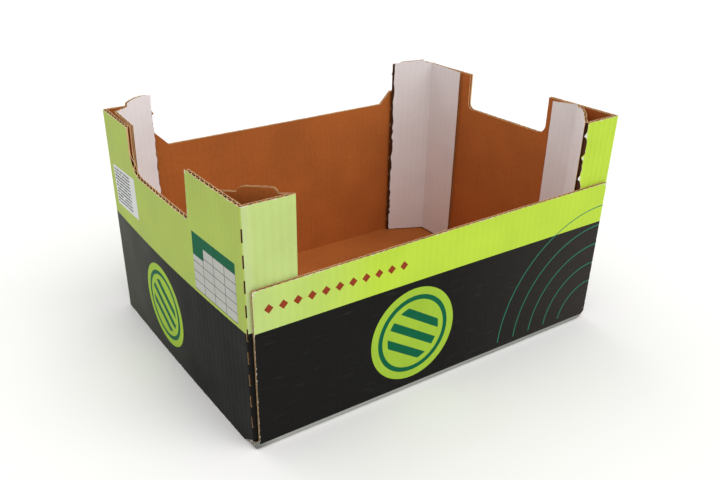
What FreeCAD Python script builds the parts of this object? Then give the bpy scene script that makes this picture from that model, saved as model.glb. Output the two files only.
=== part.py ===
import FreeCAD
import Part
import math
import os

from FreeCAD import Vector

# Cardboard tray box of three glued sheets, in millimetres.
# +X runs along the box, +Y from its front to its rear, +Z up.
# The origin is on the floor, under the middle of the box.

# Overall sizes
length = 400.0  # over the outer faces of the two end walls, at their corners
depth = 295.0  # over the outer faces of the front and rear walls
rim_height = 218.0  # floor to the rim of the end walls and corner posts
front_wall_height = 152.0
rear_wall_height = 171.0  # along the middle of the rear wall
rear_ear_height = 185.0  # at both ends of the rear wall
rear_ear_length = 46.0  # from the sheet's cut end to the top of the slope
rear_ear_slope = 14.0  # length of the slope between the two heights
end_wall_bow = 4.0  # how far use has bowed each end wall out, halfway along it

# Corrugated board
end_board = 4.0  # thickness of the end pieces
wrap_board = 3.0  # thickness of the front, bottom and rear sheet
liner = 0.5  # facing paper on each side of the fluting
flute_web = 0.6  # thickness of the wavy paper between two flutes
end_flute_pitch = 7.4
wrap_flute_pitch = 6.3
flute_mouth_depth = 3.0  # how far the open flutes are cut in at a rim

# Clearances
glue_gap = 0.2  # glue line between two sheets
wrap_end_gap = 0.5  # between the bottom's cut end and an end wall

# Bends between the bottom and the front and rear walls
bend_inner_radius = 1.0
bend_corner_cut = 7.0  # corner cut off at the end of a bend

# Ear that the left end of the front bend has instead of a cut corner
bend_ear_end_gap = 1.0  # end wall's outer face to the ear
bend_ear_rise = 7.0  # up the front wall
bend_ear_run = 11.0  # front wall's outer face to the ear's rear, along the bottom

# Front posts, of triangular plan
left_front_panel_width = 47.0  # corner panel, corner to post edge
right_front_panel_width = 44.5
front_fold_depth = 45.0  # front face of the post to its fold on the end wall
front_tab_length = 31.0  # glue tab along the end wall

# Rear posts, shallower, alike but for their tabs
rear_panel_width = 51.0
rear_fold_depth = 22.0
left_rear_tab_length = 45.0
right_rear_tab_length = 50.0

# Stacking lugs on the diagonals, each from its start, measured from the post edge
front_lug_start = 11.0
front_lug_width = 32.0
front_lug_height = 4.7
left_rear_lug_start = 0.5
left_rear_lug_width = 33.0
left_rear_lug_height = 9.0
right_rear_lug_start = 4.0
right_rear_lug_width = 36.0
right_rear_lug_height = 3.5
lug_side_slope = 3.0

# Hand notches, from the front face of the end piece
left_notch_front = 91.0
left_notch_rear = 219.5
left_notch_floor = 175.5
left_notch_front_radius = 3.0
left_notch_rear_radius = 21.0
right_notch_front = 84.0
right_notch_rear = 202.0
right_notch_floor = 179.0
right_notch_front_radius = 10.0
right_notch_rear_radius = 7.0

# Slits along the corner folds
slit_length = 11.0
slit_width = 1.2
slit_pitch = 20.9
slit_top_margin = 17.0  # rim to the first slit
slit_bottom_margin = 20.0

# Notch at the foot of the front corner fold, sloped on the end wall
foot_cut_length = 16.0
foot_cut_height = 8.0

# Paper label on the left end wall
label_width = 62.5
label_height = 41.5
label_thickness = 0.1
label_to_rear = 13.3  # rear face of the end piece to the label
label_top = 169.0

# Values worked out from these
over = 20.0  # how far cutting solids run past the board
wrap_inset = wrap_board + glue_gap
piece_depth = depth - 2.0 * wrap_inset
panel_foot = wrap_board + bend_inner_radius
wrap_length = length - 2.0 * (end_board + wrap_end_gap)
tab_line = end_board + glue_gap + end_board / 2.0
wall_chord = piece_depth - end_board  # straight part of the end wall's outer face
wall_radius = (wall_chord ** 2 / 4.0 + end_wall_bow ** 2) / (2.0 * end_wall_bow)
front_lug = (front_lug_start, front_lug_width, front_lug_height)
left_rear_lug = (left_rear_lug_start, left_rear_lug_width, left_rear_lug_height)
right_rear_lug = (right_rear_lug_start, right_rear_lug_width, right_rear_lug_height)


def unit(vector):
    return vector * (1.0 / vector.Length)


def left_of(vector):
    return Vector(-vector.y, vector.x, 0)


def wall_bulge(y):
    """How far out the end wall stands, at a distance from the end piece's front face."""
    offset = y - piece_depth / 2.0
    return math.sqrt(wall_radius ** 2 - offset ** 2) - wall_radius + end_wall_bow


def run_edge(start, end, bow):
    """One face of a sheet between two folds, bowed to its left."""
    if bow == 0.0:
        return Part.LineSegment(start, end).toShape()
    middle = (start + end) / 2.0 + left_of(unit(end - start)) * bow
    return Part.Arc(start, middle, end).toShape()


def side_edges(points, bows, shift):
    """Edges of one face of a folded sheet, shift to the left of its centre line."""
    edges = []
    directions = [unit(b - a) for a, b in zip(points, points[1:])]
    position = points[0] + left_of(directions[0]) * shift
    for corner, before, after, bow in zip(points[1:], directions, directions[1:], bows):
        normal_before = left_of(before)
        normal_after = left_of(after)
        middle = normal_before + normal_after
        turn = before.cross(after).z
        if turn * shift > 0:
            inside = corner + middle * (shift / (1.0 + normal_before.dot(normal_after)))
            edges.append(run_edge(position, inside, bow))
            position = inside
            continue
        arc_start = corner + normal_before * shift
        arc_end = corner + normal_after * shift
        arc_middle = corner + unit(middle) * shift
        edges.append(run_edge(position, arc_start, bow))
        edges.append(Part.Arc(arc_start, arc_middle, arc_end).toShape())
        position = arc_end
    last = points[-1] + left_of(directions[-1]) * shift
    edges.append(run_edge(position, last, bows[-1]))
    return edges


def folded_sheet(points, bows, thickness, height):
    """A sheet with upright folds, from the plan of its centre line and the bow of each run."""
    half = thickness / 2.0
    left = side_edges(points, bows, half)
    right = side_edges(points, bows, -half)
    start_cap = Part.LineSegment(left[0].firstVertex().Point, right[0].firstVertex().Point)
    end_cap = Part.LineSegment(left[-1].lastVertex().Point, right[-1].lastVertex().Point)
    edges = left + right + [start_cap.toShape(), end_cap.toShape()]
    outline = Part.Wire(Part.__sortEdges__(edges))
    return Part.Face(outline).extrude(Vector(0, 0, height))


def prism(points, direction):
    """A flat outline pushed along a direction."""
    outline = Part.makePolygon(points + points[:1])
    return Part.Face(outline).extrude(direction)


def flute_mouths(start, end, thickness, pitch, level_of, bow=0.0):
    """Open flute ends along a rim, as solids to cut away.

    level_of(from, to) gives the height of the rim between two distances along
    the stretch, or None where the rim isn't level.
    """
    along = unit(end - start)
    across = left_of(along)
    reach = thickness / 2.0 - liner
    half_base = pitch / 2.0 - flute_web
    run = (end - start).Length
    count = int((run - pitch / 2.0) / (pitch / 2.0))
    margin = (run - count * pitch / 2.0) / 2.0
    mouths = []
    for number in range(count):
        middle = margin + (number + 0.5) * pitch / 2.0
        level = level_of(middle - half_base, middle + half_base)
        if level is None:
            continue
        side = 1.0 if number % 2 else -1.0
        base = across * (side * reach)
        tip = across * (side * (flute_web - reach))
        bulge = bow * (1.0 - (2.0 * middle / run - 1.0) ** 2)
        place = start + across * bulge + Vector(0, 0, level - flute_mouth_depth)
        corners = [
            place + along * (middle - half_base) + base,
            place + along * (middle + half_base) + base,
            place + along * middle + tip,
        ]
        mouths.append(prism(corners, Vector(0, 0, flute_mouth_depth + over)))
    return mouths


def post_path(panel_width, fold_depth, tab_length):
    """Centre line of a post in plan, from its tab's end to the corner fold."""
    half = end_board / 2.0
    tab_end = Vector(tab_line, fold_depth + tab_length, 0)
    wall_fold = Vector(tab_line, fold_depth, 0)
    panel_fold = Vector(panel_width - half, half, 0)
    corner = Vector(half, half, 0)
    return [tab_end, wall_fold, panel_fold, corner]


def flipped(points):
    """The same plan seen from the rear of the end piece."""
    return [Vector(p.x, piece_depth - p.y, 0) for p in points]


def lug(post, sizes):
    """Raised stacking lug on the diagonal of a post."""
    start, width, height = sizes
    end = start + width
    top = rim_height + height
    wall_fold, panel_fold = post[1], post[2]
    along = unit(wall_fold - panel_fold)
    across = left_of(along) * end_board
    outline = [
        (start, rim_height - height),
        (end, rim_height - height),
        (end, rim_height),
        (end - lug_side_slope, top),
        (start + lug_side_slope, top),
        (start, rim_height),
    ]
    corners = [panel_fold - across / 2.0 + along * s + Vector(0, 0, z) for s, z in outline]
    return prism(corners, across)


def notch(front, rear, floor, front_radius, rear_radius):
    """Hand notch through the end wall, open at the rim, rounded at its floor."""
    top = rim_height + over
    diagonal = math.sqrt(0.5)
    front_centre = Vector(0, front + front_radius, floor + front_radius)
    rear_centre = Vector(0, rear - rear_radius, floor + rear_radius)
    points = [
        Vector(0, rear, top),
        Vector(0, front, top),
        front_centre - Vector(0, front_radius, 0),
        front_centre - Vector(0, 0, front_radius),
        rear_centre - Vector(0, 0, rear_radius),
        rear_centre + Vector(0, rear_radius, 0),
    ]
    front_middle = front_centre + Vector(0, -diagonal, -diagonal) * front_radius
    rear_middle = rear_centre + Vector(0, diagonal, -diagonal) * rear_radius
    edges = [
        Part.LineSegment(points[0], points[1]).toShape(),
        Part.LineSegment(points[1], points[2]).toShape(),
        Part.Arc(points[2], front_middle, points[3]).toShape(),
        Part.LineSegment(points[3], points[4]).toShape(),
        Part.Arc(points[4], rear_middle, points[5]).toShape(),
        Part.LineSegment(points[5], points[0]).toShape(),
    ]
    opening = Part.Face(Part.Wire(edges)).extrude(Vector(over + end_board + glue_gap / 2.0, 0, 0))
    opening.translate(Vector(-over, 0, 0))
    return opening


def slits():
    """Cuts through both corner folds of an end piece, down its height."""
    span = rim_height - slit_top_margin - slit_bottom_margin - slit_length
    count = int(span / slit_pitch) + 1
    cuts = []
    for number in range(count):
        top = rim_height - slit_top_margin - number * slit_pitch
        cut = Part.makeBox(4.0 * end_board, slit_width, slit_length)
        cut.translate(Vector(-2.0 * end_board, -slit_width / 2.0, top - slit_length))
        cut.rotate(Vector(0, 0, 0), Vector(0, 0, 1), 45)
        cut.translate(Vector(end_board / 2.0, end_board / 2.0, 0))
        cuts.append(cut)
        cuts.append(cut.mirror(Vector(0, piece_depth / 2.0, 0), Vector(0, 1, 0)))
    return cuts


def foot_cuts():
    """Room under the posts for the bottom sheet, and the notch at the front fold's foot."""
    under_posts = Part.makeBox(length, piece_depth + 2.0 * over, panel_foot + over)
    under_posts.translate(Vector(end_board, -over, -over))
    outline = [
        Vector(-over, -over, -over),
        Vector(-over, foot_cut_length, -over),
        Vector(-over, foot_cut_length, 0),
        Vector(-over, end_board, foot_cut_height),
        Vector(-over, -over, foot_cut_height),
    ]
    return [under_posts, prism(outline, Vector(over + foot_cut_length, 0, 0))]


def rim_mouths(path, rear_lug, notch_front, notch_rear, notch_floor, radii):
    """Open flutes along the whole rim of an end piece, in its notch and on its lugs."""
    def level_on_lug(sizes, run, from_panel):
        start, width, height = sizes
        end = start + width

        def level_of(first, last):
            low = first if from_panel else run - last
            high = last if from_panel else run - first
            if high < start or low > end:
                return rim_height
            if low > start + lug_side_slope and high < end - lug_side_slope:
                return rim_height + height
            return None
        return level_of

    def level_on_wall(first, last):
        front = first + end_board / 2.0
        rear = last + end_board / 2.0
        if rear < notch_front - liner or front > notch_rear + liner:
            return rim_height
        if front > notch_front + radii[0] and rear < notch_rear - radii[1]:
            return notch_floor
        return None

    def level_rim(first, last):
        return rim_height

    front_run = (path[1] - path[2]).Length
    rear_run = (path[6] - path[5]).Length
    levels = [
        level_rim,
        level_on_lug(front_lug, front_run, False),
        level_rim,
        level_on_wall,
        level_rim,
        level_on_lug(rear_lug, rear_run, True),
        level_rim,
    ]
    mouths = []
    for start, end, level_of in zip(path, path[1:], levels):
        bow = end_wall_bow if level_of is level_on_wall else 0.0
        mouths += flute_mouths(start, end, end_board, end_flute_pitch, level_of, bow)
    return mouths


def end_piece(
    notch_front, notch_rear, notch_floor, front_radius, rear_radius,
    front_panel_width, rear_lug, rear_tab_length,
):
    """One folded end sheet: end wall, two corner panels, two diagonals, two glue tabs."""
    front_post = post_path(front_panel_width, front_fold_depth, front_tab_length)
    rear_post = flipped(post_path(rear_panel_width, rear_fold_depth, rear_tab_length))
    path = front_post + rear_post[::-1]
    bows = [0.0, 0.0, 0.0, end_wall_bow, 0.0, 0.0, 0.0]
    sheet = folded_sheet(path, bows, end_board, rim_height)
    sheet = sheet.fuse([lug(front_post, front_lug), lug(rear_post, rear_lug)])
    sheet = sheet.removeSplitter()
    cuts = [notch(notch_front, notch_rear, notch_floor, front_radius, rear_radius)]
    cuts += slits()
    cuts += foot_cuts()
    radii = (front_radius, rear_radius)
    cuts += rim_mouths(path, rear_lug, notch_front, notch_rear, notch_floor, radii)
    sheet = sheet.cut(cuts)
    sheet.translate(Vector(-length / 2.0, -piece_depth / 2.0, 0))
    return sheet


def left_end_piece():
    return end_piece(
        left_notch_front,
        left_notch_rear,
        left_notch_floor,
        left_notch_front_radius,
        left_notch_rear_radius,
        left_front_panel_width,
        left_rear_lug,
        left_rear_tab_length,
    )


def right_end_piece():
    piece = end_piece(
        right_notch_front,
        right_notch_rear,
        right_notch_floor,
        right_notch_front_radius,
        right_notch_rear_radius,
        right_front_panel_width,
        right_rear_lug,
        right_rear_tab_length,
    )
    return piece.mirror(Vector(0, 0, 0), Vector(1, 0, 0))


def bend_edges(centre, radius, first_angle, last_angle):
    """Quarter circle of the wrap's section, in the plane across the box."""
    angles = [first_angle, (first_angle + last_angle) / 2.0, last_angle]
    points = [
        centre + Vector(0, math.cos(math.radians(a)), math.sin(math.radians(a))) * radius
        for a in angles
    ]
    return Part.Arc(points[0], points[1], points[2]).toShape()


def wrap_section():
    """Section of the wrap across the box: front wall, bottom, rear wall."""
    half = depth / 2.0
    outer_radius = bend_inner_radius + wrap_board
    front = Vector(0, outer_radius - half, outer_radius)
    rear = Vector(0, half - outer_radius, outer_radius)
    edges = [
        bend_edges(front, outer_radius, 180, 270),
        bend_edges(rear, outer_radius, 270, 360),
        bend_edges(rear, bend_inner_radius, 360, 270),
        bend_edges(front, bend_inner_radius, 270, 180),
    ]
    corners = [
        Vector(0, wrap_board - half, front_wall_height),
        Vector(0, -half, front_wall_height),
        Vector(0, half, rear_ear_height),
        Vector(0, half - wrap_board, rear_ear_height),
    ]
    joins = [
        (edges[3].lastVertex().Point, corners[0]),
        (corners[0], corners[1]),
        (corners[1], edges[0].firstVertex().Point),
        (edges[0].lastVertex().Point, edges[1].firstVertex().Point),
        (edges[1].lastVertex().Point, corners[2]),
        (corners[2], corners[3]),
        (corners[3], edges[2].firstVertex().Point),
        (edges[2].lastVertex().Point, edges[3].firstVertex().Point),
    ]
    edges += [Part.LineSegment(a, b).toShape() for a, b in joins]
    return Part.Face(Part.Wire(Part.__sortEdges__(edges)))


def rear_rim_cut():
    """What is cut from the rear wall between its two higher ends."""
    foot = wrap_length / 2.0 - rear_ear_length - rear_ear_slope
    head = wrap_length / 2.0 - rear_ear_length
    behind = depth / 2.0 - 2.0 * wrap_board
    outline = [
        Vector(-foot, behind, rear_wall_height),
        Vector(foot, behind, rear_wall_height),
        Vector(head, behind, rear_ear_height),
        Vector(head, behind, rear_ear_height + over),
        Vector(-head, behind, rear_ear_height + over),
        Vector(-head, behind, rear_ear_height),
    ]
    return prism(outline, Vector(0, 3.0 * wrap_board, 0))


def bend_corner_cuts():
    """Corners cut off at the ends of the bends, apart from the front bend's left end."""
    corner = Vector(wrap_length / 2.0, -depth / 2.0, 0)
    outline = [
        corner + Vector(bend_corner_cut, 0, bend_corner_cut) - Vector(0, bend_corner_cut, 0),
        corner + Vector(-bend_corner_cut, 0, -bend_corner_cut) - Vector(0, bend_corner_cut, 0),
        corner + Vector(bend_corner_cut, 0, -bend_corner_cut) - Vector(0, bend_corner_cut, 0),
    ]
    cut = prism(outline, Vector(0, 2.0 * bend_corner_cut, 0))
    right_rear = cut.mirror(Vector(0, 0, 0), Vector(0, 1, 0))
    return [cut, right_rear, right_rear.mirror(Vector(0, 0, 0), Vector(1, 0, 0))]


def bend_ear():
    """Ear of the front bend, which reaches under the left end piece's cut foot."""
    left = bend_ear_end_gap - length / 2.0
    ear = wrap_section().extrude(Vector(-wrap_length / 2.0 - left, 0, 0))
    ear.translate(Vector(left, 0, 0))
    room = Part.makeBox(length, bend_ear_run, bend_ear_rise)
    room.translate(Vector(-length / 2.0, -depth / 2.0, 0))
    return ear.common(room)


def wrap_mouths():
    """Open flutes along the front and rear rims of the wrap."""
    half = wrap_length / 2.0
    middle = (depth - wrap_board) / 2.0

    def level_front(first, last):
        return front_wall_height

    def level_rear(first, last):
        nearest = min(first, wrap_length - last)
        furthest = min(last, wrap_length - first)
        if furthest < rear_ear_length:
            return rear_ear_height
        if nearest > rear_ear_length + rear_ear_slope:
            return rear_wall_height
        return None

    front = (Vector(-half, -middle, 0), Vector(half, -middle, 0))
    rear = (Vector(-half, middle, 0), Vector(half, middle, 0))
    mouths = flute_mouths(front[0], front[1], wrap_board, wrap_flute_pitch, level_front)
    mouths += flute_mouths(rear[0], rear[1], wrap_board, wrap_flute_pitch, level_rear)
    return mouths


def tray_wrap():
    """The long sheet: front wall, bottom and rear wall in one."""
    sheet = wrap_section().extrude(Vector(wrap_length, 0, 0))
    sheet.translate(Vector(-wrap_length / 2.0, 0, 0))
    sheet = sheet.fuse(bend_ear()).removeSplitter()
    return sheet.cut([rear_rim_cut()] + bend_corner_cuts() + wrap_mouths())


def paper_label():
    """Plain paper label glued on the left end wall, near its rear."""
    rear = piece_depth - label_to_rear
    places = [rear - label_width, rear - label_width / 2.0, rear]
    back = [Vector(-wall_bulge(y), y, 0) for y in places]
    face = [point - Vector(label_thickness, 0, 0) for point in back]
    edges = [
        Part.Arc(back[0], back[1], back[2]).toShape(),
        Part.LineSegment(back[2], face[2]).toShape(),
        Part.Arc(face[2], face[1], face[0]).toShape(),
        Part.LineSegment(face[0], back[0]).toShape(),
    ]
    label = Part.Face(Part.Wire(edges)).extrude(Vector(0, 0, label_height))
    label.translate(Vector(-length / 2.0, -piece_depth / 2.0, label_top - label_height))
    return label


sub_parts = {
    "tray_wrap": tray_wrap,
    "left_end_piece": left_end_piece,
    "right_end_piece": right_end_piece,
    "paper_label": paper_label,
}

os.makedirs("parts", exist_ok=True)
for name, make in sub_parts.items():
    shape = make()
    if len(shape.Solids) == 1:
        shape = shape.Solids[0]
    shape.exportStep("parts/" + name + ".step")
    print(name, "solids", len(shape.Solids), "volume", round(shape.Volume), "valid", shape.isValid())
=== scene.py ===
import math

import bpy
import numpy as np
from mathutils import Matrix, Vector
from mathutils.geometry import delaunay_2d_cdt


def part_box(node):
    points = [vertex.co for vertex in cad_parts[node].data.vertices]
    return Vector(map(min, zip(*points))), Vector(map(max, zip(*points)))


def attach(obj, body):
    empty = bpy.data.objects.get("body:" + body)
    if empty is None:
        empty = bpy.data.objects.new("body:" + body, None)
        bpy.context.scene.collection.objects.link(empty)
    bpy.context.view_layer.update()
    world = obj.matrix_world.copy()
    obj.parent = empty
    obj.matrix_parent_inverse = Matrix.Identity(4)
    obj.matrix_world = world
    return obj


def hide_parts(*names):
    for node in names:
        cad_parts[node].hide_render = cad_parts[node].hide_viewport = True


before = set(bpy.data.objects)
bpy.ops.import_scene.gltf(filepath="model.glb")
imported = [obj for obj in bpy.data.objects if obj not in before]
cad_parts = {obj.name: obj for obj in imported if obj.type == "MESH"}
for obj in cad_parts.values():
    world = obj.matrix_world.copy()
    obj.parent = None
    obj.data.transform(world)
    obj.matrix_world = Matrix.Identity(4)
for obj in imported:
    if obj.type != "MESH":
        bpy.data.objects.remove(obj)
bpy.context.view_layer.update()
mm = 0.001
leftLow, leftHigh = (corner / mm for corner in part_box("left_end_piece"))
wrapLow, wrapHigh = (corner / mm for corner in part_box("tray_wrap"))
labelLow, labelHigh = (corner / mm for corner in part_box("paper_label"))
halfLength = 200.0  # from the middle to an end wall's corners; between them the wall bows out further
print("frame loaded with", len(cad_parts), "nodes")

# All lengths below are millimetres in the box's own frame.
# Every sheet is three papers: printed liner, fluting and kraft liner, each a thin closed mesh.
# A paper is first cut flat, along the sheet and up its flutes, and then folded into place.

camera = {
    "place": (-420.6, -599.5, 432.0),
    "direction": (0.4766, 0.7326, -0.4860),
    "focalLength": 779.25,  # in pixels of the photograph
    "imageSize": (720, 480),
    "opticalCentre": (330.1, 289.3),  # pixel that the lens looks straight at
    "sensorWidth": 36.0,
}


def addObject(name, data):
    item = bpy.data.objects.new(name, data)
    bpy.context.scene.collection.objects.link(item)
    return item


def setCamera(values):
    width, height = values["imageSize"]
    lens = bpy.data.cameras.new("photoCamera")
    lens.sensor_width = values["sensorWidth"]
    lens.lens = values["sensorWidth"] * values["focalLength"] / width
    lens.shift_x = (width / 2 - values["opticalCentre"][0]) / width
    lens.shift_y = (values["opticalCentre"][1] - height / 2) / width
    lens.clip_start = 0.01
    lens.dof.use_dof = False
    holder = addObject("photoCamera", lens)
    holder.location = Vector(values["place"]) * mm
    holder.rotation_euler = Vector(values["direction"]).to_track_quat("-Z", "Y").to_euler()
    bpy.context.scene.camera = holder


setCamera(camera)
print("camera set")


def hexColour(code):
    # sRGB hex code to the linear colour that a shader takes
    channels = [int(code[place:place + 2], 16) / 255 for place in (1, 3, 5)]
    linear = [c / 12.92 if c <= 0.04045 else ((c + 0.055) / 1.055) ** 2.4 for c in channels]
    return (*linear, 1.0)


def addNode(tree, kind, inputs=None, **settings):
    # One node with its settings and its inputs: values, sockets, or nodes whose first output is meant
    node = tree.nodes.new("ShaderNode" + kind)
    for name, value in settings.items():
        setattr(node, name, value)
    for name, value in (inputs or {}).items():
        if isinstance(value, bpy.types.Node):
            value = value.outputs[0]
        if isinstance(value, bpy.types.NodeSocket):
            tree.links.new(value, node.inputs[name])
        else:
            node.inputs[name].default_value = value
    return node


def makeMaterial(name, shade, values):
    # The shade function adds the nodes of one look and returns the inputs of its shader
    material = bpy.data.materials.new(name)
    material.use_nodes = True
    tree = material.node_tree
    tree.nodes.clear()
    shader = addNode(tree, "BsdfPrincipled", shade(tree, values))
    addNode(tree, "OutputMaterial", {"Surface": shader})
    return material


def blankPlace(tree):
    # Where a point was on its paper before folding
    return addNode(tree, "Attribute", attribute_name="blank").outputs["Vector"]


noiseEnds = (0.3, 0.7)  # nearly all of a noise pattern's values lie between these


def patternScale(size):
    # Noise scale of a pattern whose spots are about this many millimetres apart
    return 1 / (size * mm)


def finePaper(tree, colour, paper):
    # Cloudy tone, fibres and a fine grain that every paper here shares
    place = addNode(tree, "TexCoord").outputs["Object"]
    blank = blankPlace(tree)
    stretched = addNode(tree, "Mapping", {"Vector": blank, "Scale": paper["fibreStretch"]})
    cloud, grain, fibre = (
        addNode(tree, "TexNoise", {
            "Vector": space, "Scale": patternScale(paper[size]), "Detail": detail, "Roughness": rough})
        for space, size, detail, rough in (
            (place, "cloudSize", 3.0, 0.5), (place, "grainSize", 2.0, 0.5),
            (stretched, "fibreWidth", 4.0, 0.65)))
    # Lines at the flute pitch: on kraft a painted shade of the washboard, on a printed liner the print's
    # striping over the flute tips
    along = addNode(tree, "SeparateXYZ", {"Vector": blank})
    turns = 2 * math.pi * patternScale(paper["flutePitch"])
    wave = addNode(tree, "Math", {0: along, 1: turns}, operation="MULTIPLY")
    flutes = addNode(tree, "Math", {0: wave}, operation="SINE")
    *shades, gloss = (
        addNode(tree, "MapRange", {
            "Value": pattern, "From Min": ends[0], "From Max": ends[1],
            "To Min": middle - paper[spread], "To Max": middle + paper[spread]})
        for pattern, ends, middle, spread in (
            (cloud, noiseEnds, 1.0, "cloudShade"), (fibre, noiseEnds, 1.0, "fibreShade"),
            (flutes, (-1.0, 1.0), 1.0, "fluteShade"),
            (cloud, noiseEnds, paper["roughness"], "roughnessSpread")))
    shaded = addNode(tree, "VectorMath", {0: colour, "Scale": allOf(tree, shades)}, operation="SCALE")
    relief = addNode(tree, "Math", {0: grain, 1: fibre}, operation="ADD")
    bump = addNode(tree, "Bump", {
        "Height": relief, "Strength": paper["relief"], "Distance": paper["reliefDepth"] * mm})
    return {
        "Base Color": shaded, "Roughness": gloss, "Normal": bump, "Specular IOR Level": paper["specular"]}


kraftPaper = {
    "colour": "#B3662C",
    "fleckColour": "#84461B",
    "fleckSize": 2.2,
    "fleckNoise": (0.56, 0.72),
    "fleckAmount": 0.6,
    "cloudSize": 55.0,
    "cloudShade": 0.10,
    "grainSize": 1.4,
    "fibreWidth": 1.1,  # real fibres are finer than a pixel, so they are drawn this coarse to show
    "fibreStretch": (1.0, 0.25, 1.0),
    "fibreShade": 0.10,
    "flutePitch": 7.4,
    "fluteShade": 0.012,
    "roughness": 0.82,
    "roughnessSpread": 0.06,
    "specular": 0.25,
    "relief": 0.35,
    "reliefDepth": 0.25,
}


def kraftLiner(tree, values):
    # Unbleached kraft paper: matt warm brown with fibre flecks and faint painted shade lines over the flutes
    flecks = spots(tree, blankPlace(tree), values, "fleck", 5.0, 0.7)
    ends = {0: flecks, 6: hexColour(values["colour"]), 7: hexColour(values["fleckColour"])}
    colour = addNode(tree, "Mix", ends, data_type="RGBA").outputs[2]
    return finePaper(tree, colour, values)


def plainPaper(tree, values):
    # Unprinted paper of one colour
    return finePaper(tree, hexColour(values["colour"])[:3], values)


whitePaper = {  # white-top kraft without ink: greyish white, nearly matt
    "colour": "#EEEBEB",
    "cloudSize": 40.0,
    "cloudShade": 0.035,
    "grainSize": 1.2,
    "fibreWidth": 1.2,  # drawn coarser than real fibres, so that they show
    "fibreStretch": (1.0, 0.3, 1.0),
    "fibreShade": 0.025,
    "flutePitch": 7.4,
    "fluteShade": 0.01,
    "roughness": 0.6,
    "roughnessSpread": 0.05,
    "specular": 0.35,
    "relief": 0.2,
    "reliefDepth": 0.15,
}

flutingPaper = {  # recycled paper: dark and rough inside the board
    "colour": "#452610",
    "cloudSize": 18.0,
    "cloudShade": 0.18,
    "grainSize": 1.0,
    "fibreWidth": 0.9,  # drawn coarser than real fibres, so that they show
    "fibreStretch": (1.0, 0.5, 1.0),
    "fibreShade": 0.16,
    "flutePitch": 7.4,
    "fluteShade": 0.06,
    "roughness": 0.9,
    "roughnessSpread": 0.05,
    "specular": 0.2,
    "relief": 0.4,
    "reliefDepth": 0.3,
}

cutPaper = dict(flutingPaper, colour="#CAA778")  # paler where a knife has cut the board

inks = {
    "green": "#B6D340",
    # painted sheen: green drawn paler where it catches a sheen, at the front's left end and on the left end's
    # corner panels
    "sheenPaleGreen": "#B8CC7C",
    # painted sheen: the same green ink drawn greyer on the end walls
    "endSheenGreen": "#A9BC58",
    # painted highlight along the near corner fold
    "foldHighlightGreen": "#C4CFA4",
    "black": "#131211",
    # painted sheen: black drawn greyer towards the end walls' rear
    "sheenBlack": "#43463A",
    "discGreen": "#9DBE38",
    "darkGreen": "#005C3C",
    "teal": "#26795F",
    "redBrown": "#8C371D",
    "tableWhite": "#B8B9B2",
    # painted shade: the bare white liner of the bottom bend and its ear drawn grey, as they face down out of
    # the light
    "bendShadowGrey": "#A2A29D",
    "bendShade": "#8B8D87",
    "cornerShade": "#72726C",
    "warmBlack": "#2E2A26",
    "chippedWhite": "#DAD6D0",
}

farOff = 500.0  # past every edge of the print

discDesign = {  # shares of the disc's radius
    "ring": (0.74, 0.84),
    "barSpacing": 0.34,
    "barWidth": 0.16,
    "barReach": 0.62,
    "barSlope": (0.5, -0.5, 0.8),
}

frontDesign = {
    "bandFoot": 113.0,  # green above this height, black below
    "inkFoot": 6.0,  # the bend at the bottom has no ink
    "bendFoot": 0.4,
    "bareEar": -195.7,  # the ear at the bend's left end has none either
    "sheenEnds": (-200.0, -80.0),  # painted sheen: the green is drawn pale at the left end and full from here on
    "shadeEnds": (-150.0, 200.0),
    "cornerShadeEnds": (-178.0, -198.0),  # painted shade: the bend is darker at the near corner
    "warmEnds": (0.0, 230.0),  # the black is browner to the right
    "disc": (-38.0, 0.0, 60.0),
    "discRadius": 46.0,
    "arcCentre": (196.0, 0.0, 4.0),
    "arcSpacing": 21.0,
    "arcEnds": (31.5, 132.0),
    "arcWidth": 1.1,
    "arcFoot": 12.0,
    "diamondRow": 132.0,
    "diamondSpacing": 13.0,
    "diamondSize": 4.2,
    "diamondEnds": (-186.0, -48.0),
}

endDesign = {
    "bandFoot": 113.0,
    "panelReach": 198.8,  # the corner panels lie nearer the middle than this
    "foldHighlightEnds": (-189.0, -199.0),  # painted highlight: the near fold is drawn paler
    "foldHighlightAmount": 0.4,
    "blackSheenEnds": (-40.0, 140.0),  # painted sheen: the black is drawn greyer towards the rear
    "blackSheenAmount": 0.85,
    "disc": (0.0, 24.0, 58.0),
    "discRadius": 42.0,
    "tableEnds": (-131.4, -58.8),
    "tableHeights": (115.9, 168.5),
    "tableHeader": 9.3,
    "tableBlock": (19.5, 11.4),
    "tableColumn": 18.2,
    "tableRow": 8.6,
    "tableLine": 0.55,
}


def allOf(tree, masks):
    result = masks[0]
    for mask in masks[1:]:
        result = addNode(tree, "Math", {0: result, 1: mask}, operation="MULTIPLY")
    return result


def layInks(tree, colour, layers):
    # Inks printed one over the other, each where all the masks after its name are 1
    for ink, *masks in layers:
        ends = {0: allOf(tree, masks), 6: colour, 7: hexColour(inks[ink])}
        colour = addNode(tree, "Mix", ends, data_type="RGBA").outputs[2]
    return colour


def bandMask(tree, value, low, high):
    middle, half = (low + high) / 2, (high - low) / 2
    return addNode(tree, "Math", {0: value, 1: middle, 2: half}, operation="COMPARE")


def stripes(tree, value, spacing, width):
    # Lines of one width, at every multiple of their spacing
    repeat = addNode(tree, "Math", {0: value, 1: spacing / 2}, operation="PINGPONG")
    return bandMask(tree, repeat, -1.0, width / 2)


def fadeMask(tree, value, ends, amount=1.0):
    # Rises evenly from nothing at the first end to its full amount at the second
    return addNode(tree, "MapRange", {
        "Value": value, "From Min": ends[0], "From Max": ends[1], "To Max": amount})


def spots(tree, place, values, kind, detail, rough=0.5):
    # Noise that fades in, from the size, the noise values and the amount given for its kind
    noise = addNode(tree, "TexNoise", {
        "Vector": place, "Scale": patternScale(values[kind + "Size"]), "Detail": detail, "Roughness": rough})
    return fadeMask(tree, noise, values[kind + "Noise"], values[kind + "Amount"])


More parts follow.
